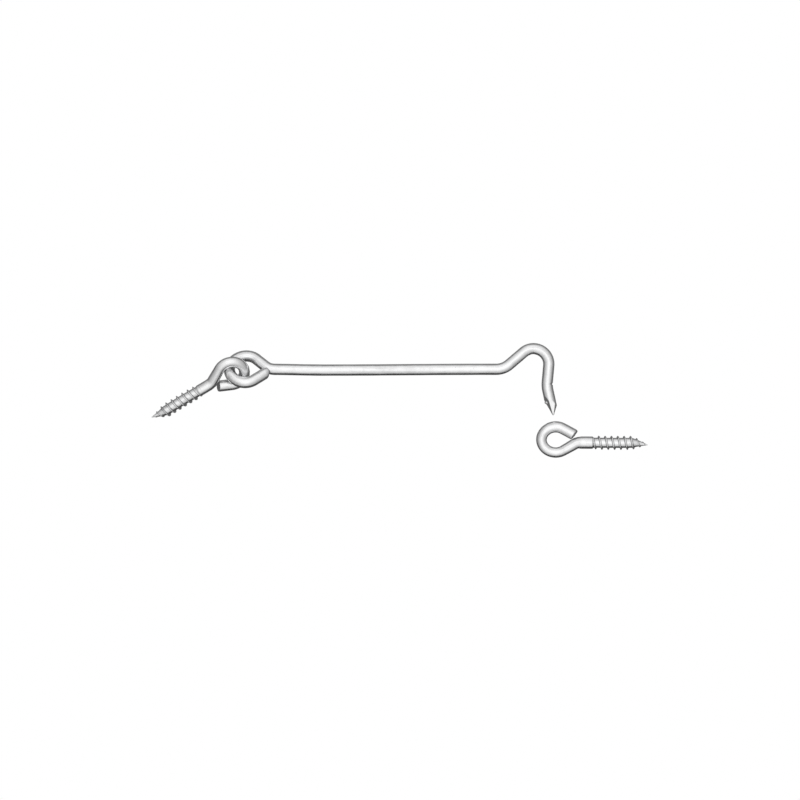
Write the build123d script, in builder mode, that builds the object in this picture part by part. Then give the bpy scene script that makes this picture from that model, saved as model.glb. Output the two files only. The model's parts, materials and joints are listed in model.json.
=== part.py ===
from build123d import *
import os
from math import asin, cos, degrees, radians, sin, tan

# A wire hook with a linked screw eye at one end and a loose screw eye for its point to drop into.
# Millimetres. The set lies on the plane Z = 0 with +Z up, and the rod of the hook runs along +X.
# Each bent eye is drawn with its ring centred on its own origin and its shank towards its own +X.

# Wire, shared by all three pieces
wire_radius = 2.5
cut_chamfer = 0.35

# Screw eye: the shank passes beside the ring's centre, on the side where the ring begins
ring_radius = 6.06
shank_offset = 1.43
neck_angle = 31.0
neck_radius = 4.0
tail_angle = 29.5
tail_length = 5.8
shank_end = 17.0

# Right-handed wood-screw thread of the screw eye, with a gimlet point
thread_pitch = 2.88
crest_radius = 3.2
root_radius = 2.3
crest_half_width = 0.18
crest_flank_angle = 22.0
ridge_inner_radius = 0.35
ridge_start, ridge_end = 14.46, 38.4
run_in_length = 1.3
envelope_gap = 0.05
point_start = 34.6
tip_reach = 41.8
tip_radius = 0.25

# Eye of the hook, which hangs in the pivot eye with its own tilt about the rod
hook_ring_radius = 7.1
hook_neck_angle = 40.0
hook_neck_radius = 6.5
hook_tail_angle = 36.0
hook_tail_length = 5.75
hook_eye_tilt = 31.8

# Rod and crook of the hook, as corners of its centreline from the eye's centre, and their bends
rod_middle = (60.0, 0.0)
crook_foot, crook_foot_radius = (117.4, 0.0), 9.0
crook_top, crook_top_radius = (139.5, 18.8), 7.0
leg_foot, leg_foot_radius = (137.1, -7.6), 14.0
point_end = (140.0, -20.8)

# Pinched point of the hook: slope of its outline and faces to the leg, and the lean of its bevels
outer_slope_angle = 30.0
inner_slope_angle = 17.5
face_slope_angle = 18.0
bevel_lean = 35.0
tip_half_width = 0.3
facet_cutter = 20.0

# Places on the table: ring centres, and how the two screw eyes lie
hook_eye_center = Vector(-70.3, 14.35, 6.3)
pivot_shift = Vector(-6.2, -1.85, 1.2)
pivot_heading = 211.5
pivot_dip = 8.6
pivot_tilt = 33.0
catch_center = Vector(70.8, -17.65, 2.73)
catch_rise = 1.6

os.makedirs("parts", exist_ok=True)


def polar(reach, angle, start=(0, 0)):
    """Point in the working plane at a reach and an angle from a starting point."""
    return start[0] + reach * cos(radians(angle)), start[1] + reach * sin(radians(angle))


def bent_eye(plane, radius, offset, neck, neck_bend, tail, tail_reach, end):
    """Centreline of an eye: shank, neck bend, ring, and a straight tail back towards the neck."""
    neck_corner = ((radius - offset * cos(radians(neck))) / sin(radians(neck)), -offset)
    ring_end = polar(radius, 90 - tail)
    with BuildLine(plane) as line:
        FilletPolyline((end, -offset), neck_corner, polar(radius, neck - 90), radius=neck_bend)
        CenterArc((0, 0), radius, neck - 90, -(180 + neck + tail))
        Line(ring_end, polar(tail_reach, -tail, ring_end))
    return line.line


def across(line, position=0):
    """Plane across a centreline."""
    return Plane(origin=line @ position, z_dir=line % position)


def cut_rim(part, line):
    """Rim of the sheared end of the wire, at the end of its centreline."""
    return part.faces().filter_by(GeomType.PLANE).sort_by_distance(line @ 1)[0].edges()


def ridge_half_width(radius):
    """Half width of the thread ridge at a distance from the screw's axis."""
    return crest_half_width + (crest_radius - radius) * tan(radians(crest_flank_angle))


# Screw eye, lying in Plane.XY: the thread ridge first, clipped to its envelope, then core and wire
with BuildPart() as screw_eye:
    with BuildLine() as ridge_path:
        Helix(
            thread_pitch,
            ridge_end - ridge_start,
            root_radius,
            center=(ridge_start, -shank_offset, 0),
            direction=(1, 0, 0),
        )
    ridge_base = Vector(ridge_start, -shank_offset, 0)
    ridge_out = (ridge_path.line @ 0 - ridge_base).normalized()
    with BuildSketch(Plane(ridge_base, x_dir=ridge_out, z_dir=ridge_out.cross(Vector(1, 0, 0)))):
        inner_half_width = ridge_half_width(ridge_inner_radius)
        with BuildLine():
            Polyline(
                (ridge_inner_radius, -inner_half_width),
                (crest_radius, -crest_half_width),
                (crest_radius, crest_half_width),
                (ridge_inner_radius, inner_half_width),
                close=True,
            )
        make_face()
    sweep(path=ridge_path.line, normal=(1, 0, 0))

    shank_axis = Axis((0, -shank_offset, 0), (1, 0, 0))
    shank_plane = Plane((0, -shank_offset, 0))
    with BuildSketch(shank_plane):
        with BuildLine():
            Polyline(
                (shank_end, 0),
                (shank_end, root_radius),
                (shank_end + run_in_length, crest_radius + envelope_gap),
                (point_start, crest_radius + envelope_gap),
                (tip_reach, tip_radius + envelope_gap),
                (tip_reach, 0),
                close=True,
            )
        make_face()
    revolve(axis=shank_axis, mode=Mode.INTERSECT)

    with BuildSketch(shank_plane):
        with BuildLine():
            Polyline(
                (shank_end, 0),
                (shank_end, root_radius),
                (point_start, root_radius),
                (tip_reach, tip_radius),
                (tip_reach, 0),
                close=True,
            )
        make_face()
    revolve(axis=shank_axis)

    wire_line = bent_eye(
        Plane.XY, ring_radius, shank_offset, neck_angle, neck_radius, tail_angle, tail_length, shank_end
    )
    with BuildSketch(across(wire_line)):
        Circle(wire_radius)
    sweep(path=wire_line)
    chamfer(cut_rim(screw_eye.part, wire_line), cut_chamfer)

# The pivot eye hangs tilted in the hook's eye, its tip down on the table; the catch eye lies flat
pivot_plane = Plane(hook_eye_center + pivot_shift)
for turn in ((-pivot_tilt, 0, 0), (0, pivot_dip, 0), (0, 0, pivot_heading)):
    pivot_plane = pivot_plane.rotated(turn)
catch_plane = Plane(catch_center).rotated((0, -catch_rise, 0))

with BuildPart() as pivot_screw_eye:
    with Locations(pivot_plane):
        add(screw_eye.part)
pivot_screw_eye.part.label = "pivot_screw_eye"
export_step(pivot_screw_eye.part, "parts/pivot_screw_eye.step")

with BuildPart() as catch_screw_eye:
    with Locations(catch_plane):
        add(screw_eye.part)
catch_screw_eye.part.label = "catch_screw_eye"
export_step(catch_screw_eye.part, "parts/catch_screw_eye.step")

# Hook: the rod falls gently from the raised eye until the crook lies on the table
rod_dip = degrees(asin((hook_eye_center.Z - wire_radius) / crook_top[0]))
rod_plane = Plane(hook_eye_center).rotated((0, rod_dip, 0))
hook_eye_plane = Plane(hook_eye_center).rotated((180 - hook_eye_tilt, 0, 0)).rotated((0, rod_dip, 0))

with BuildPart() as hook_arm:
    eye_line = bent_eye(
        hook_eye_plane,
        hook_ring_radius,
        0,
        hook_neck_angle,
        hook_neck_radius,
        hook_tail_angle,
        hook_tail_length,
        rod_middle[0],
    )
    with BuildSketch(across(eye_line)):
        Circle(wire_radius)
    sweep(path=eye_line)
    chamfer(cut_rim(hook_arm.part, eye_line), cut_chamfer)

    with BuildLine(rod_plane) as crook_line:
        FilletPolyline(
            rod_middle,
            crook_foot,
            crook_top,
            leg_foot,
            point_end,
            radius=(crook_foot_radius, crook_top_radius, leg_foot_radius),
        )
    with BuildSketch(across(crook_line.line)):
        Circle(wire_radius)
    sweep(path=crook_line.line)

    tip, leg_direction, face = crook_line.line @ 1, crook_line.line % 1, rod_plane.z_dir
    outer = face.cross(leg_direction)
    facets = [(face, 0, face_slope_angle), (-face, 0, face_slope_angle)]
    for edge, slope_angle in ((outer, outer_slope_angle), (-outer, inner_slope_angle)):
        facets += [(edge, lean, slope_angle) for lean in (-bevel_lean, bevel_lean)]
    for side, lean, slope_angle in facets:
        leaning = side * cos(radians(lean)) + face * sin(radians(lean))
        outward = leaning + leg_direction * cos(radians(lean)) * tan(radians(slope_angle))
        with BuildSketch(Plane(tip + side * tip_half_width, z_dir=outward)):
            Rectangle(facet_cutter, facet_cutter)
        extrude(amount=2 * wire_radius, mode=Mode.SUBTRACT)
hook_arm.part.label = "hook_arm"
export_step(hook_arm.part, "parts/hook_arm.step")
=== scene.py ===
import json
import math

import bmesh
import bpy
import numpy as np
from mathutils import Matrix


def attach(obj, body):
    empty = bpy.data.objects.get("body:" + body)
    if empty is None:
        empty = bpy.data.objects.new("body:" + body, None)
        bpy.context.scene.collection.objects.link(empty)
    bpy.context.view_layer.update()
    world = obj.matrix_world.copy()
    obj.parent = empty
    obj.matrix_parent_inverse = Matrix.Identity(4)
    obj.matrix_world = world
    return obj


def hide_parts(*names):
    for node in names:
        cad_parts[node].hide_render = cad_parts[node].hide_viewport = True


# A wire hook linked to a screw eye, and a loose screw eye for its point, as finely meshed wire that
# stands for the three CAD nodes. Sizes in the mesh code are millimetres and become metres when a
# mesh is made. An eye's own frame has its ring's centre at the origin, its ring in the XY plane and
# its shank towards +X.

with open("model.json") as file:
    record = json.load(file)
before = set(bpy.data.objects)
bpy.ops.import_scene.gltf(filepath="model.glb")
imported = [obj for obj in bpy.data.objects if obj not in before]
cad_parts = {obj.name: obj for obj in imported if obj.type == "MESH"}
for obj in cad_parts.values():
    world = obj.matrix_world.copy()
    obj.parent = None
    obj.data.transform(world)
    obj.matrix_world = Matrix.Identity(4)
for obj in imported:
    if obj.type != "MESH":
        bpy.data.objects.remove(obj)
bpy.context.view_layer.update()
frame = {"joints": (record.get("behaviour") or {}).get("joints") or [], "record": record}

MM = 0.001
SLOT = "zinc_plated_wire"

# Mesh
COLUMNS = 80
ROW_STEP, FINE_ROW_STEP = 0.3, 0.1
THREAD_ROWS, ROW_CROWDING = 24, 1.8
ARC_POINTS = 180
MERGE_DISTANCE = 1e-6
SHARP_ANGLE = 50.0

# Wire: its radius, how it wanders from that in waves of several lengths and steadies before a
# thread, and how much thinner the bending left it
WIRE_RADIUS = 2.57
WANDER, WANDER_LOBES, WANDER_LENGTHS, WANDER_FADE = 0.008, 4, (9, 30), 4
BEND_THINNING = 0.2

# Its sheared ends: the rounded rim, the face that leans, the burr on the rim and the tears in the face
RIM_ROUNDING, RIM_ROWS = 0.35, 7
FACE_ROWS, FACE_MIDDLE, SHEAR_TILT = 12, 0.97, 9.0
BURR_HEIGHT, BURR_WIDTH, BURR_HEADING, BURR_SPREAD = 0.12, 0.2, 0.4, 0.5
TEAR_HEIGHT, TEAR_ACROSS, TEAR_UP, TEAR_PHASE = 0.02, 2.6, 3.1, 1.0
FINE_TEAR_HEIGHT, FINE_TEAR_ACROSS, FINE_TEAR_UP = 0.012, 2.2, 6.3

# Screw eye
RING_RADIUS, SHANK_OFFSET = 6.06, -1.43
NECK_ANGLE, NECK_RADIUS = 31.0, 4.0
TAIL_ANGLE, TAIL_LENGTH, TAIL_LEAN = 29.5, 5.8, 10.0
SHANK_BOW = (8.0, 12.0, 27.0)

# Its wood-screw thread and gimlet point, by distance along the shank. The ridge's place is where it
# crosses the side of the shank that faces the tail. Softnesses round the creases between surfaces,
# and the top of a ridge lower than the least one counts as only part of the way up.
SHANK_START = 9.4
RUN_IN_START, SHOULDER, THREAD_START, RUN_IN_END = 15.4, 16.4, 17.0, 19.3
SHOULDER_FOOT = 0.3
PITCH, CREST_RADIUS, ROOT_RADIUS = 2.88, 3.2, 2.3
CREST_HALF_WIDTH, FLANK_ANGLE, RIDGE_PLACE, RUN_OUT_HEIGHT = 0.18, 22.0, 13.74, 0.3
POINT_START, RUN_OUT, TIP_REACH, TIP_RADIUS = 34.6, 39.6, 41.4, 0.22
TIP_STRAY, STRAY_POWER = 0.9, 1.6
TIP_ROUNDING, TIP_STRETCH = (0, 30, 60, 80), 1.4
CONE_SOFTNESS, TAPER_SOFTNESS, CREST_SOFTNESS, RIDGE_SOFTNESS = 0.2, 0.2, 0.14, 0.16
LEAST_RIDGE = 0.35

# How each screw eye came out of the bending: its ring drawn out into an oval, its plain shank
# thickened, and its shank bowed
PIVOT_OVAL, PIVOT_SWELL, PIVOT_BOW = 0.0, 0.03, 0.42
CATCH_OVAL, CATCH_SWELL, CATCH_BOW = 0.075, 0.24, 0.12

# Hook: its eye, and the corners of rod and crook from the eye's centre
HOOK_EYE_CENTER = np.array((-70.3, 14.35, 6.3))
HOOK_RING_RADIUS = 7.1
HOOK_NECK_ANGLE, HOOK_NECK_RADIUS = 40.0, 6.5
HOOK_TAIL_ANGLE, HOOK_TAIL_LENGTH, HOOK_TAIL_LEAN = 36.0, 5.75, 23.0
HOOK_EYE_TILT = 31.8
HOOK_EYE_SKEW = 0.65
ROD_MIDDLE = (60.0, 0.0)
ROD_BOW, ROD_BOW_DEPTH = (8.0, 36.0, 112.0), 0.38
CROOK_FOOT, CROOK_TOP, LEG_FOOT, POINT_END = (117.4, 0.0), (139.5, 18.8), (137.1, -7.6), (140.0, -20.8)
CROOK_FOOT_RADIUS, CROOK_TOP_RADIUS, LEG_FOOT_RADIUS = 9.0, 7.0, 14.0

# Its pinched point
OUTER_SLOPE, INNER_SLOPE, FACE_SLOPE, BEVEL_LEAN = 30.0, 17.5, 18.0, 35.0
FACET_TIP, EDGE_SOFTNESS, POINT_LENGTH, POINT_CAP = 0.3, 0.15, 17.0, 0.15
PINCHED_DEPTHS, LEAST_FACING = (0.02, 0.1), 1e-6

# Marks of the bending and pinching tools. The hook's are placed by their distance back from its tip.
GRIP_MARKS, GRIP_STEP, GRIP_DEPTH, GRIP_LENGTH, GRIP_SPREAD = 4, 1.2, 0.09, 0.4, 0.4
CREASE_PLACE, CREASE_DEPTH, CREASE_LENGTH, CREASE_SPREAD = 14.4, 0.34, 0.45, 0.4
LIP_PLACE, LIP_HEIGHT, LIP_LENGTH, LIP_SPREAD = 6.1, 0.5, 0.5, 0.12
PIN_PLACE, PIN_DEPTH, PIN_LENGTH, PIN_SPREAD, PIN_HEADING = 35.0, 0.12, 1.6, 0.5, -120.0


# Small helpers --------------------------------------------------------------------------------

def soft_max(a, b, softness):
    """The larger of two surfaces, with the crease between them rounded."""
    share = np.clip(0.5 + 0.5 * (a - b) / softness, 0, 1)
    return b + (a - b) * share + softness / 2 * share * (1 - share)


def soft_min(a, b, softness):
    """The smaller of two surfaces, with the crease between them rounded."""
    return -soft_max(-a, -b, softness)


def ease(value, low, high):
    """Rises smoothly from 0 at low to 1 at high."""
    share = np.clip((value - low) / (high - low), 0, 1)
    return share * share * (3 - 2 * share)


def bow(distance, bounds):
    """Height of a gentle bow with top 1, by the distances where it starts, is highest and ends."""
    start, top, end = bounds
    return ease(distance, start, top) * (1 - ease(distance, top, end))


def bump(distance, width):
    """A hump of height 1 at distance 0."""
    return np.exp(-((distance / width) ** 2))


def unit(vectors):
    """The same directions at length 1."""
    return vectors / np.linalg.norm(vectors, axis=-1, keepdims=True)


def polar(reach, angle):
    """Point in a plane at a reach and an angle in degrees from the origin."""
    return reach * np.array((math.cos(math.radians(angle)), math.sin(math.radians(angle))))


# Centrelines ----------------------------------------------------------------------------------

def lengths_along(line):
    """Distance of each point from the line's start."""
    return np.append(0, np.cumsum(np.linalg.norm(np.diff(line, axis=0), axis=1)))


def respaced(line, fine_end=0.0):
    """The same line with its points a row step apart, and closer over a length at its end."""
    lengths = lengths_along(line)
    fine_start = lengths[-1] - fine_end
    places = np.linspace(0, fine_start, round(fine_start / ROW_STEP) + 1)
    if fine_end:
        fine_places = np.linspace(fine_start, lengths[-1], round(fine_end / FINE_ROW_STEP) + 1)
        places = np.append(places, fine_places[1:])
    return np.column_stack([np.interp(places, lengths, values) for values in line.T])


def arc(center, radius, start, turn):
    """Points of an arc, from an angle in degrees through a turn."""
    angles = np.radians(start + np.linspace(0, turn, ARC_POINTS))
    return center + radius * np.column_stack([np.cos(angles), np.sin(angles)])


def bent_line(corners, radii):
    """Straight runs joined by tangent arcs."""
    corners = [np.array(corner) for corner in corners]
    parts = [corners[:1]]
    for before, corner, after, radius in zip(corners, corners[1:], corners[2:], radii):
        back, onward = unit(before - corner), unit(after - corner)
        half = math.acos(back @ onward) / 2
        center = corner + unit(back + onward) * radius / math.sin(half)
        first, last = (corner + way * radius / math.tan(half) - center for way in (back, onward))
        turn = math.atan2(first[0] * last[1] - first[1] * last[0], first @ last)
        start = math.atan2(first[1], first[0])
        parts.append(arc(center, radius, math.degrees(start), math.degrees(turn)))
    return np.vstack(parts + [corners[-1:]])


def eye_line(radius, offset, neck, neck_bend, tail, tail_reach, end):
    """Centreline of an eye from the end of its tail, round the ring, to a distance along the shank."""
    tail_start = polar(radius, 90 - tail)
    tail_end = tail_start + polar(tail_reach - RIM_ROUNDING, -tail)
    ring = arc(np.zeros(2), radius, 90 - tail, 180 + neck + tail)
    corner = ((radius + offset * math.cos(math.radians(neck))) / math.sin(math.radians(neck)), offset)
    shank = bent_line((ring[-1], corner, (end, offset)), (neck_bend,))
    return np.vstack([tail_end, ring, shank[1:]])


def in_space(line):
    """A plane line as points in space."""
    return np.column_stack([line, np.zeros(len(line))])


# Meshes ---------------------------------------------------------------------------------------

TURN = 2 * math.pi * np.arange(COLUMNS) / COLUMNS


class WireMesh:
    """Points and faces of one piece, gathered grid by grid. Each point also keeps its place on the
    wire as if it were straight, how far up the thread it is, how far onto a cut end, and how far onto
    a pinched face."""

    def __init__(self):
        self.points, self.straight, self.faces = [], [], []
        self.ridge, self.cut, self.pinched = [], [], []
        self.count = 0

    def add_points(self, points, straight, ridge=0.0, cut=0.0, pinched=0.0):
        """Keeps points in any shape of array and returns the first one's number."""
        first, number = self.count, points[..., 0].size
        self.points.append(points.reshape(-1, 3))
        self.straight.append(straight.reshape(-1, 3))
        self.ridge.append(np.broadcast_to(ridge, points.shape[:-1]).ravel())
        self.cut.append(np.broadcast_to(cut, points.shape[:-1]).ravel())
        self.pinched.append(np.broadcast_to(pinched, points.shape[:-1]).ravel())
        self.count += number
        return first

    def add_grid(self, points, straight, ridge=0.0, cut=0.0, pinched=0.0, rows_per_turn=0):
        """Joins rows of points round the wire. A grid that follows a thread climbs rows each turn."""
        first, rows = self.add_points(points, straight, ridge, cut, pinched), len(points)
        row, column = np.meshgrid(np.arange(rows - 1), np.arange(COLUMNS), indexing="ij")
        climbed = row + np.where(column == COLUMNS - 1, rows_per_turn, 0)
        beside = (column + 1) % COLUMNS
        corners = (row, column), (climbed, beside), (climbed + 1, beside), (row + 1, column)
        quads = np.stack([first + r * COLUMNS + c for r, c in corners], axis=-1)
        self.faces += quads[climbed + 1 < rows].tolist()

    def close(self, middle, straight):
        """Joins the last row to one point."""
        pole = self.add_points(middle, straight, self.ridge[-1][-1], self.cut[-1][-1], self.pinched[-1][-1])
        rim = pole - COLUMNS
        self.faces += [[rim + c, rim + (c + 1) % COLUMNS, pole] for c in range(COLUMNS)]

    def piece(self, name, place, body, material):
        """Makes the object, in the row frame, riding on its CAD body and standing for its node."""
        mesh = bpy.data.meshes.new(name)
        mesh.from_pydata((place(np.vstack(self.points)) * MM).tolist(), [], self.faces)
        for label, kind, field, values in (
            ("straight_wire", "FLOAT_VECTOR", "vector", np.vstack(self.straight) * MM),
            ("thread_ridge", "FLOAT", "value", np.concatenate(self.ridge)),
            ("cut_end", "FLOAT", "value", np.concatenate(self.cut)),
            ("pinched_face", "FLOAT", "value", np.concatenate(self.pinched)),
        ):
            attribute = mesh.attributes.new(label, kind, "POINT")
            attribute.data.foreach_set(field, values.astype(np.float32).ravel())
        work = bmesh.new()
        work.from_mesh(mesh)
        bmesh.ops.remove_doubles(work, verts=work.verts, dist=MERGE_DISTANCE)
        bmesh.ops.recalc_face_normals(work, faces=work.faces)
        for face in work.faces:
            face.smooth = True
        work.to_mesh(mesh)
        work.free()
        mesh.set_sharp_from_angle(angle=math.radians(SHARP_ANGLE))
        mesh.materials.append(material)
        piece = bpy.data.objects.new(name, mesh)
        bpy.context.scene.collection.objects.link(piece)
        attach(piece, body)
        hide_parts(body)


def straightened(along, radius):
    """Where points round the wire would be if the wire were straight along X."""
    return np.stack([along + 0 * radius, radius * np.cos(TURN), radius * np.sin(TURN)], axis=-1)


def carried_frames(line, up):
    """Tangents of a line in space, and directions out of it for each column, without any twist."""
    tangents = unit(np.gradient(line, lengths_along(line), axis=0))
    ups = np.empty_like(line)
    ups[0] = up
    for i, tangent in enumerate(tangents):
        carried = ups[max(i - 1, 0)]
        ups[i] = unit(carried - (carried @ tangent) * tangent)
    sides = np.cross(tangents, ups)
    outward = np.cos(TURN)[:, None] * ups[:, None] + np.sin(TURN)[:, None] * sides[:, None]
    return tangents, outward


def uneven(along, seed):
    """The slight unevenness of drawn wire round and along it."""
    random = np.random.default_rng(seed)
    total = 0
    for lobes in range(1, WANDER_LOBES + 1):
        wavelength, first, second = random.uniform(*WANDER_LENGTHS), *random.uniform(0, 2 * math.pi, 2)
        wave = np.sin(2 * math.pi * along[:, None] / wavelength + first)
        total = total + wave * np.cos(lobes * TURN + second)
    return WANDER * total


def torn(across, up):
    """Height of the tears that shearing leaves in a face."""
    tears = TEAR_HEIGHT * np.sin(TEAR_ACROSS * across + TEAR_PHASE) * np.sin(TEAR_UP * up)
    return tears + FINE_TEAR_HEIGHT * np.sin(FINE_TEAR_UP * up + FINE_TEAR_ACROSS * across)


def sheared_end(mesh, center, outward, ahead, radius, along, lean):
    """The end of a wire where it was sheared: a rounded rim with a burr, and a torn face that leans."""
    rolled = np.radians(np.linspace(0, 90, RIM_ROWS))
    face_inset = np.linspace(RIM_ROUNDING, FACE_MIDDLE * WIRE_RADIUS, FACE_ROWS)[1:]
    inset = np.append(RIM_ROUNDING * (1 - np.cos(rolled)), face_inset)
    onto_face = np.append(np.sin(rolled), np.ones(len(face_inset)))[:, None]
    reach = radius * (1 - inset[:, None] / WIRE_RADIUS)
    across, up = reach * np.cos(TURN), reach * np.sin(TURN)
    beside_burr = np.sin(TURN / 2 + BURR_HEADING)
    burr = BURR_HEIGHT * bump(inset[:, None] - RIM_ROUNDING, BURR_WIDTH) * bump(beside_burr, BURR_SPREAD)
    slant = (WIRE_RADIUS - across) * math.tan(math.radians(lean)) - up * math.tan(math.radians(SHEAR_TILT))
    forward = onto_face * (RIM_ROUNDING + slant + torn(across, up) + burr)
    points = center + reach[..., None] * outward + forward[..., None] * ahead
    straight = straightened(along + forward, reach)
    mesh.add_grid(points, straight, cut=onto_face)
    mesh.close(points[-1].mean(axis=0), straight[-1].mean(axis=0))


# Screw eyes -----------------------------------------------------------------------------------

def core_radius(x, swell):
    """Radius of the shank under the thread."""
    plain = WIRE_RADIUS + swell
    shoulder = plain + (ROOT_RADIUS - plain) * ease(x, SHOULDER, THREAD_START + SHOULDER_FOOT)
    cone = np.interp(x, (POINT_START, TIP_REACH), (ROOT_RADIUS, TIP_RADIUS))
    out_of_the_way = WIRE_RADIUS + 1
    return soft_min(shoulder, np.where(x < POINT_START - 1, out_of_the_way, cone), CONE_SOFTNESS)


def thread_radius(x, swell):
    """Radius of the threaded shank round each column, and how far up the ridge that is."""
    core = core_radius(x, swell)
    offset = (x - RIDGE_PLACE - PITCH * TURN / (2 * math.pi) + PITCH / 2) % PITCH - PITCH / 2
    run_in = np.interp(x, (RUN_IN_START, RUN_IN_END), (WIRE_RADIUS, CREST_RADIUS))
    run_out_radius = core_radius(RUN_OUT, swell) + RUN_OUT_HEIGHT
    taper = np.interp(x, (POINT_START, RUN_OUT, TIP_REACH), (CREST_RADIUS, run_out_radius, 0.0))
    crest = soft_min(run_in, taper, TAPER_SOFTNESS)
    ridge = crest - (np.abs(offset) - CREST_HALF_WIDTH) / math.tan(math.radians(FLANK_ANGLE))
    radius = soft_max(core, soft_min(ridge, crest, CREST_SOFTNESS), RIDGE_SOFTNESS)
    return radius, np.clip((radius - core) / np.maximum(crest - core, LEAST_RIDGE), 0, 1)


def shank_points(x, radius, bend):
    """Points of the bowed shank, whose tip strays a little to the side away from the tail."""
    onto_point = np.clip((x - POINT_START) / (TIP_REACH - POINT_START), 0, None)
    stray = TIP_STRAY * onto_point**STRAY_POWER
    axis = SHANK_OFFSET + bend * bow(x, SHANK_BOW) - stray
    return np.stack([x + 0 * radius, axis + radius * np.cos(TURN), radius * np.sin(TURN)], axis=-1)


def add_thread(mesh, along, swell, bend):
    """The threaded shank and its tip. The rows run along the ridge, so that its edges stay crisp."""
    crowding = np.linspace(-1, 1, THREAD_ROWS, endpoint=False)
    in_pitch = PITCH / 2 * np.sign(crowding) * np.abs(crowding) ** ROW_CROWDING
    turns = PITCH * np.arange(-1, math.ceil((TIP_REACH - RIDGE_PLACE) / PITCH) + 2)
    x = RIDGE_PLACE + (turns[:, None] + in_pitch).reshape(-1, 1) + PITCH * TURN / (2 * math.pi)
    x = np.clip(x, RUN_IN_START, TIP_REACH)
    radius, ridge = thread_radius(x, swell)
    mesh.add_grid(
        shank_points(x, radius, bend),
        straightened(along + x - RUN_IN_START, radius),
        ridge,
        rows_per_turn=THREAD_ROWS,
    )
    rounding = np.radians(TIP_ROUNDING)[:, None]
    x = TIP_REACH + TIP_STRETCH * TIP_RADIUS * np.sin(rounding) + 0 * TURN
    radius = thread_radius(np.full((1, COLUMNS), TIP_REACH), swell)[0] * np.cos(rounding)
    points, straight = shank_points(x, radius, bend), straightened(along + x - RUN_IN_START, radius)
    mesh.add_grid(points, straight)
    mesh.close(points[-1].mean(axis=0), straight[-1].mean(axis=0))


def pressed(centers, outward, place, way, depth, length, spread):
    """Depth of a mark pressed into the wire near a place, on the side that faces a way."""
    near = bump(np.linalg.norm(centers - place, axis=1), length)[:, None]
    return depth * near * bump(1 - outward @ way, spread)


def gripped(centers, outward, along, ring_center, start):
    """Depth of the marks that the jaw of a bending tool left across the outside of a ring."""
    depth = 0
    for mark in range(GRIP_MARKS):
        place = centers[np.searchsorted(along, start + mark * GRIP_STEP)]
        way = unit(place - ring_center)
        depth = depth + pressed(centers, outward, place, way, GRIP_DEPTH, GRIP_LENGTH, GRIP_SPREAD)
    return depth


def screw_eye_mesh(seed, oval, swell, bend):
    """A screw eye in its own frame. Its wire gets thinner round the ring, from the tail to the neck."""
    mesh = WireMesh()
    eye = eye_line(RING_RADIUS, SHANK_OFFSET, NECK_ANGLE, NECK_RADIUS, TAIL_ANGLE, TAIL_LENGTH, RUN_IN_START)
    line = in_space(respaced(eye))
    line[:, 1] *= 1 - oval / 2 * (1 - ease(line[:, 0], 0, SHANK_START))
    line[:, 1] += bend * bow(line[:, 0], SHANK_BOW)
    line[:, 0] *= np.where(line[:, 0] < 0, 1 + oval, 1)
    start_way = unit(line[1] - line[0])
    tangents, outward = carried_frames(line, np.array((-start_way[1], start_way[0], 0)))
    along = lengths_along(line)
    radius = WIRE_RADIUS + uneven(along, seed) * ease(along[-1] - along, 0, WANDER_FADE)[:, None]
    drawn = ease(along, TAIL_LENGTH + RING_RADIUS / 3, TAIL_LENGTH + 3 * RING_RADIUS)
    radius -= BEND_THINNING * (drawn * (1 - ease(line[:, 0], RING_RADIUS / 3, SHANK_START)))[:, None]
    radius += swell * ease(line[:, 0], SHANK_START, SHANK_START + WIRE_RADIUS)[:, None]
    radius -= gripped(line, outward, along, np.zeros(3), TAIL_LENGTH + RING_RADIUS)
    mesh.add_grid(line[:, None] + radius[..., None] * outward, straightened(along[:, None], radius))
    sheared_end(mesh, line[0], outward[0], -tangents[0], radius[0], along[0], TAIL_LEAN)
    add_thread(mesh, along[-1], swell, bend)
    return mesh


def screw_eye_place(thread_mount, ring_axis):
    """Moves a screw eye's own frame to where the CAD model has it."""
    shank = np.array(thread_mount["axis"])
    side = np.cross(ring_axis, shank)
    center = np.array(thread_mount["pos_m"]) / MM - THREAD_START * shank - SHANK_OFFSET * side
    axes = np.stack([shank, side, np.array(ring_axis)])
    return lambda points: center + points @ axes


# Hook -----------------------------------------------------------------------------------------

def turned(angle_x, angle_y):
    """Axes turned about X, then about Y, by angles in degrees, as rows."""
    cx, sx = math.cos(math.radians(angle_x)), math.sin(math.radians(angle_x))
    cy, sy = math.cos(math.radians(angle_y)), math.sin(math.radians(angle_y))
    about_x = np.array(((1, 0, 0), (0, cx, sx), (0, -sx, cx)))
    about_y = np.array(((cy, 0, -sy), (0, 1, 0), (sy, 0, cy)))
    return about_x @ about_y


def trimmed_by_facet(centers, outward, radius, corner, way):
    """Cuts the wire back to a plane through a corner, facing a way out."""
    facing = outward @ way
    room = ((corner - centers) @ way)[:, None] / np.maximum(facing, LEAST_FACING)
    trimmed = soft_min(radius, np.minimum(room, 3 * WIRE_RADIUS), EDGE_SOFTNESS)
    return np.where(facing > LEAST_FACING, trimmed, radius)


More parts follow.
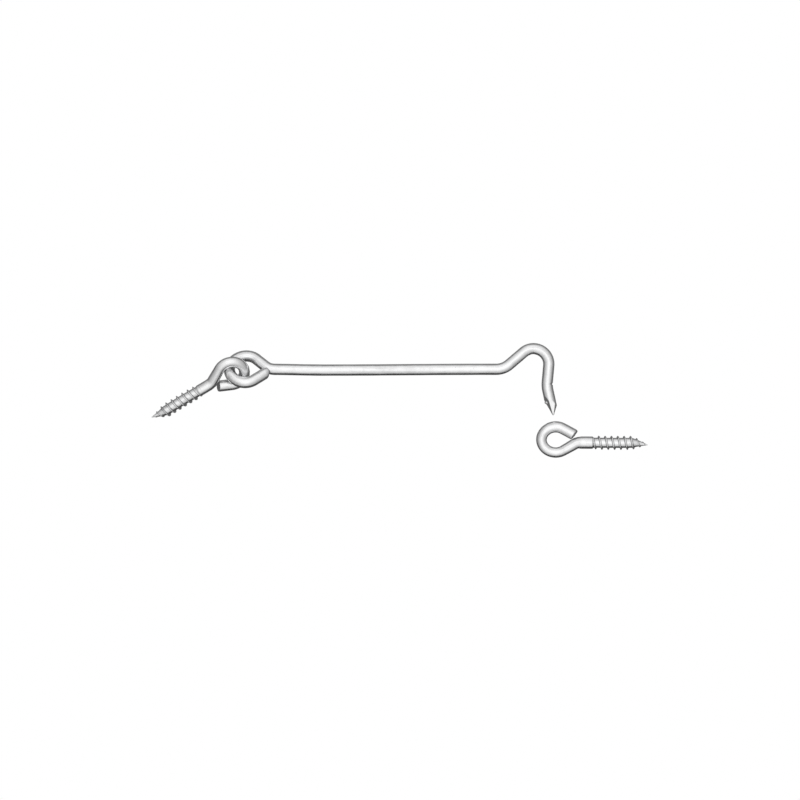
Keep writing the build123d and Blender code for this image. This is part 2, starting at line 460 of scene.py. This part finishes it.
def hook_line(eye_axes, rod_axes):
    """Centreline of the hook, from its eye's sheared tail to the tip of its point, in the row frame."""
    eye = eye_line(
        HOOK_RING_RADIUS, 0, HOOK_NECK_ANGLE, HOOK_NECK_RADIUS,
        HOOK_TAIL_ANGLE, HOOK_TAIL_LENGTH, ROD_MIDDLE[0],
    )
    eye[:, 0] += HOOK_EYE_SKEW * ease(-eye[:, 1], 0, HOOK_RING_RADIUS)
    crook = bent_line(
        (ROD_MIDDLE, CROOK_FOOT, CROOK_TOP, LEG_FOOT, POINT_END),
        (CROOK_FOOT_RADIUS, CROOK_TOP_RADIUS, LEG_FOOT_RADIUS),
    )
    line = np.vstack([in_space(eye) @ eye_axes, (in_space(crook) @ rod_axes)[1:]]) + HOOK_EYE_CENTER
    line = respaced(line, POINT_LENGTH)
    line[:, 1] -= ROD_BOW_DEPTH * bow(line[:, 0] - HOOK_EYE_CENTER[0], ROD_BOW)
    return line


def pinched_radius(line, outward, along, whole_wire, ahead, face, outer):
    """Radius of the wire with its end pinched to a point by two faces, and two bevels on each edge."""
    facets = [(face, 0, FACE_SLOPE), (-face, 0, FACE_SLOPE)]
    for edge, slope in ((outer, OUTER_SLOPE), (-outer, INNER_SLOPE)):
        facets += [(edge, lean, slope) for lean in (-BEVEL_LEAN, BEVEL_LEAN)]
    at_point = along > along[-1] - POINT_LENGTH
    radius = whole_wire.copy()
    for side, lean, slope in facets:
        leaning = side * math.cos(math.radians(lean)) + face * math.sin(math.radians(lean))
        way = unit(leaning + ahead * math.cos(math.radians(lean)) * math.tan(math.radians(slope)))
        radius[at_point] = trimmed_by_facet(
            line[at_point], outward[at_point], radius[at_point], line[-1] + side * FACET_TIP, way
        )
    return radius


def hook_mesh(seed):
    """The hook, with its pinched point and the marks of the tools that bent it, in the row frame."""
    dip = math.degrees(math.asin((HOOK_EYE_CENTER[2] - WIRE_RADIUS) / CROOK_TOP[0]))
    eye_axes, rod_axes = turned(180 - HOOK_EYE_TILT, dip), turned(0, dip)
    line = hook_line(eye_axes, rod_axes)
    tangents, outward = carried_frames(line, eye_axes[2])
    along = lengths_along(line)
    whole_wire = WIRE_RADIUS + uneven(along, seed)
    whole_wire -= gripped(line, outward, along, HOOK_EYE_CENTER, HOOK_TAIL_LENGTH + HOOK_RING_RADIUS)

    ahead, face = tangents[-1], rod_axes[2]
    outer = np.cross(face, ahead)
    radius = pinched_radius(line, outward, along, whole_wire, ahead, face, outer)
    pinched = ease(whole_wire - radius, *PINCHED_DEPTHS)
    inside_crook = in_space(polar(1, PIN_HEADING)[None])[0] @ rod_axes
    for place, way, depth, length, spread in (
        (CREASE_PLACE, outer, CREASE_DEPTH, CREASE_LENGTH, CREASE_SPREAD),
        (LIP_PLACE, -outer, -LIP_HEIGHT, LIP_LENGTH, LIP_SPREAD),
        (PIN_PLACE, inside_crook, PIN_DEPTH, PIN_LENGTH, PIN_SPREAD),
    ):
        center = line[np.searchsorted(along, along[-1] - place)]
        radius -= pressed(line, outward, center, way, depth, length, spread)
    mesh = WireMesh()
    points, straight = line[:, None] + radius[..., None] * outward, straightened(along[:, None], radius)
    sheared_end(mesh, line[0], outward[0], -tangents[0], radius[0], along[0], HOOK_TAIL_LEAN)
    mesh.add_grid(points, straight, pinched=pinched)
    mesh.close(line[-1] + POINT_CAP * ahead, straight[-1].mean(axis=0))
    return mesh


# Materials ------------------------------------------------------------------------------------

# Grains per metre, along and twice across the straightened wire, or along each axis of space
DIE_LINE_GRAINS, SCRATCH_GRAINS = (25, 1300, 1300), (140, 5200, 5200)
CLOUD_GRAINS, CRYSTAL_GRAINS, PIT_GRAINS = (210, 210, 210), (1150, 1150, 1150), (1400, 1400, 1400)

COOL_ZINC, BURNISHED_ZINC = (0.81, 0.815, 0.825, 1), (0.97, 0.97, 0.97, 1)
# The middle gray is painted shade, laid into the creases at the foot of the thread's flanks.
PIT_GRAY, PAINTED_SHADE_GRAY, SHEARED_GRAY = (0.3, 0.3, 0.31, 1), (0.13, 0.13, 0.13, 1), (0.42, 0.42, 0.43, 1)
LEAST_ROUGHNESS, RELIEF_STRENGTH, RELIEF_DEPTH = 0.02, 0.5, 0.00009

# Sockets of a colour mix, which share their names with those of its other kinds
MIX_SHARE, MIX_FIRST, MIX_SECOND, MIX_RESULT = 0, 6, 7, 2


def number(tree, operation, *inputs):
    """A sum worked out at each point from sockets and plain numbers."""
    node = tree.nodes.new("ShaderNodeMath")
    node.operation = operation
    for socket, value in zip(node.inputs, inputs):
        if isinstance(value, bpy.types.NodeSocket):
            tree.links.new(value, socket)
        else:
            socket.default_value = value
    return node.outputs["Value"]


def weighted(tree, *pairs):
    """Sum of sockets, each with its own weight."""
    total = 0.0
    for value, weight in pairs:
        total = number(tree, "MULTIPLY_ADD", value, weight, total)
    return total


def noise(tree, coordinates, grains_per_metre, detail=3.0, roughness=0.55):
    """Cloudy values about a half, with a size of grain of their own along each axis."""
    mapping = tree.nodes.new("ShaderNodeMapping")
    mapping.inputs["Scale"].default_value = grains_per_metre
    tree.links.new(coordinates, mapping.inputs["Vector"])
    node = tree.nodes.new("ShaderNodeTexNoise")
    node.inputs["Scale"].default_value = 1.0
    node.inputs["Detail"].default_value = detail
    node.inputs["Roughness"].default_value = roughness
    tree.links.new(mapping.outputs["Vector"], node.inputs["Vector"])
    return node.outputs["Fac"]


def ramp(tree, value, *stops):
    """Grays read off a scale: pairs of a value and its gray."""
    node = tree.nodes.new("ShaderNodeValToRGB")
    elements = node.color_ramp.elements
    while len(elements) < len(stops):
        elements.new(1.0)
    for element, (position, gray) in zip(elements, stops):
        element.position = position
        element.color = (gray, gray, gray, 1)
    tree.links.new(value, node.inputs["Fac"])
    return node.outputs["Color"]


def mixed(tree, share, first, second):
    """A colour between two others."""
    node = tree.nodes.new("ShaderNodeMix")
    node.data_type = "RGBA"
    for place, value in ((MIX_SHARE, share), (MIX_FIRST, first), (MIX_SECOND, second)):
        if isinstance(value, bpy.types.NodeSocket):
            tree.links.new(value, node.inputs[place])
        else:
            node.inputs[place].default_value = value
    return node.outputs[MIX_RESULT]


def mesh_value(tree, name, output):
    """Values that the mesh carries at its points."""
    node = tree.nodes.new("ShaderNodeAttribute")
    node.attribute_name = name
    return node.outputs[output]


def zinc():
    """Bright zinc on drawn wire: lines along the wire, cloudy plating, fine pits, dull cut ends, and
    painted shade that darkens the creases of the thread, which are also made rougher."""
    material = bpy.data.materials.new(SLOT)
    material.use_nodes = True
    tree = material.node_tree
    shader = tree.nodes["Principled BSDF"]
    wire = mesh_value(tree, "straight_wire", "Vector")
    ridge = mesh_value(tree, "thread_ridge", "Fac")
    cut = mesh_value(tree, "cut_end", "Fac")
    pinched = mesh_value(tree, "pinched_face", "Fac")
    body = tree.nodes.new("ShaderNodeTexCoord").outputs["Object"]

    die_lines = noise(tree, wire, DIE_LINE_GRAINS)
    scratches = noise(tree, wire, SCRATCH_GRAINS, detail=2.0)
    clouds = noise(tree, body, CLOUD_GRAINS, detail=4.0)
    crystals = noise(tree, body, CRYSTAL_GRAINS)
    pits = ramp(tree, noise(tree, body, PIT_GRAINS, detail=1.0), (0.22, 1.0), (0.31, 0.0))
    # Painted shade: a mask strongest at the foot of each thread flank, in the creases, fading up the flank;
    # it also raises the roughness there.
    painted_crease_shade = ramp(tree, ridge, (0.0, 0.0), (0.04, 1.0), (0.5, 0.75), (0.92, 0.0))

    tone = weighted(tree, (clouds, 0.35), (die_lines, 0.5), (crystals, 0.15))
    plating = ramp(tree, tone, (0.37, 0.6), (0.5, 0.79), (0.61, 0.9))
    tinted = mixed(tree, weighted(tree, (clouds, 0.6)), plating, COOL_ZINC)
    pitted = mixed(tree, weighted(tree, (pits, 0.35)), tinted, PIT_GRAY)
    # Painted shade: darkens the colour in the creases of the thread.
    crease_shaded = mixed(tree, weighted(tree, (painted_crease_shade, 0.45)), pitted, PAINTED_SHADE_GRAY)
    sheared = mixed(tree, weighted(tree, (cut, 0.65)), crease_shaded, SHEARED_GRAY)
    burnished = mixed(tree, weighted(tree, (pinched, 0.85)), sheared, BURNISHED_ZINC)
    tree.links.new(burnished, shader.inputs["Base Color"])

    dullness = weighted(tree, (clouds, 0.22), (scratches, 0.18), (pits, 0.12), (painted_crease_shade, 0.2), (cut, 0.16))
    tree.links.new(number(tree, "ADD", dullness, LEAST_ROUGHNESS), shader.inputs["Roughness"])
    shader.inputs["Metallic"].default_value = 1

    relief = tree.nodes.new("ShaderNodeBump")
    relief.inputs["Strength"].default_value = RELIEF_STRENGTH
    relief.inputs["Distance"].default_value = RELIEF_DEPTH
    height = weighted(tree, (die_lines, 0.9), (scratches, 0.42), (crystals, 0.25), (pits, -0.4))
    tree.links.new(height, relief.inputs["Height"])
    tree.links.new(relief.outputs["Normal"], shader.inputs["Normal"])
    return material


zinc_plated = zinc()
mounts = {mount["name"]: mount for mount in frame["record"]["mounts"]}
swing = next(joint for joint in frame["joints"] if joint["name"] == "hook_swing")
catch_ring_axis = unit(np.cross(mounts["catch_thread"]["axis"], (0, 1, 0)))
pivot_place = screw_eye_place(mounts["pivot_thread"], swing["axis"])
catch_place = screw_eye_place(mounts["catch_thread"], catch_ring_axis)
pivot_mesh = screw_eye_mesh(1, PIVOT_OVAL, PIVOT_SWELL, PIVOT_BOW)
catch_mesh = screw_eye_mesh(2, CATCH_OVAL, CATCH_SWELL, CATCH_BOW)
pivot_mesh.piece("pivot_eye_wire", pivot_place, "pivot_screw_eye", zinc_plated)
catch_mesh.piece("catch_eye_wire", catch_place, "catch_screw_eye", zinc_plated)
hook_mesh(3).piece("hook_wire", lambda points: points, "hook_arm", zinc_plated)


# Stage ----------------------------------------------------------------------------------------

FLOOR_SIZE, FLOOR_LEVEL = 8.0, -0.0002
VIEW_WIDTH, VIEW_CENTER = 0.364, (0, 0.0004)
LENS, SENSOR_WIDTH = 200, 36
NEAREST_SEEN, FURTHEST_SEEN = 0.1, 20

# How brightly the room glows: all round, and how much more overhead and towards +Y and less to the
# sides. The table's edge fades over a height, and its level changes towards +Y, the sides and +X.
ROOM_GLOW, OVERHEAD_GLOW, FAR_GLOW, SIDE_DIMMING, TABLE_GLOW = 0.77, 0.55, 0.12, 0.32, 0.17
EDGE_HEIGHT, EDGE_DROP_FAR, EDGE_DROP_SIDES, EDGE_RISE_RIGHT = 0.22, 0.08, 0.15, 0.05

half = FLOOR_SIZE / 2
corners = (-half, -half, 0), (half, -half, 0), (half, half, 0), (-half, half, 0)
floor_mesh = bpy.data.meshes.new("floor")
floor_mesh.from_pydata(corners, [], [(0, 1, 2, 3)])
floor_white = bpy.data.materials.new("floor_white")
floor_white.use_nodes = True
floor_shader = floor_white.node_tree.nodes["Principled BSDF"]
floor_shader.inputs["Base Color"].default_value = (0, 0, 0, 1)
floor_shader.inputs["Specular IOR Level"].default_value = 0
floor_shader.inputs["Emission Color"].default_value = (1, 1, 1, 1)
floor_shader.inputs["Emission Strength"].default_value = 1.0
floor_mesh.materials.append(floor_white)
floor = bpy.data.objects.new("floor", floor_mesh)
floor.location.z = FLOOR_LEVEL
floor.visible_glossy = False
floor.visible_diffuse = False
floor.visible_shadow = False
bpy.context.scene.collection.objects.link(floor)

# The room as the metal mirrors it: bright overhead, darker to the sides, and dim below the table's
# edge, more so towards -Y. The edge lies lower to the sides, and a little lower towards +Y and -X.
scene = bpy.context.scene
scene.view_settings.view_transform = "Standard"
scene.world = bpy.data.worlds.new("studio")
scene.world.use_nodes = True
room = scene.world.node_tree
axes = room.nodes.new("ShaderNodeSeparateXYZ")
room.links.new(room.nodes.new("ShaderNodeTexCoord").outputs["Generated"], axes.inputs["Vector"])
x, y, z = (axes.outputs[axis] for axis in "XYZ")
overhead = number(room, "MULTIPLY", z, z)
sideways = number(room, "ABSOLUTE", x)
lit = weighted(room, (overhead, OVERHEAD_GLOW), (y, FAR_GLOW), (sideways, -SIDE_DIMMING))
above = number(room, "ADD", lit, ROOM_GLOW)
below = number(room, "ADD", weighted(room, (y, FAR_GLOW)), TABLE_GLOW)
edge = room.nodes.new("ShaderNodeMapRange")
edge.interpolation_type = "SMOOTHSTEP"
edge.inputs["From Min"].default_value = 0.0
edge.inputs["From Max"].default_value = EDGE_HEIGHT
height = weighted(room, (z, 1.0), (y, EDGE_DROP_FAR), (sideways, EDGE_DROP_SIDES), (x, -EDGE_RISE_RIGHT))
room.links.new(height, edge.inputs["Value"])
for low_or_high, glow in (("To Min", below), ("To Max", above)):
    room.links.new(glow, edge.inputs[low_or_high])
background = room.nodes["Background"]
background.inputs["Color"].default_value = (1, 1, 1, 1)
room.links.new(edge.outputs["Result"], background.inputs["Strength"])

camera = bpy.data.cameras.new("camera")
camera.lens, camera.sensor_width = LENS, SENSOR_WIDTH
camera.clip_start, camera.clip_end = NEAREST_SEEN, FURTHEST_SEEN
viewer = bpy.data.objects.new("camera", camera)
viewer.location = (*VIEW_CENTER, VIEW_WIDTH * LENS / SENSOR_WIDTH)
scene.collection.objects.link(viewer)
scene.camera = viewer
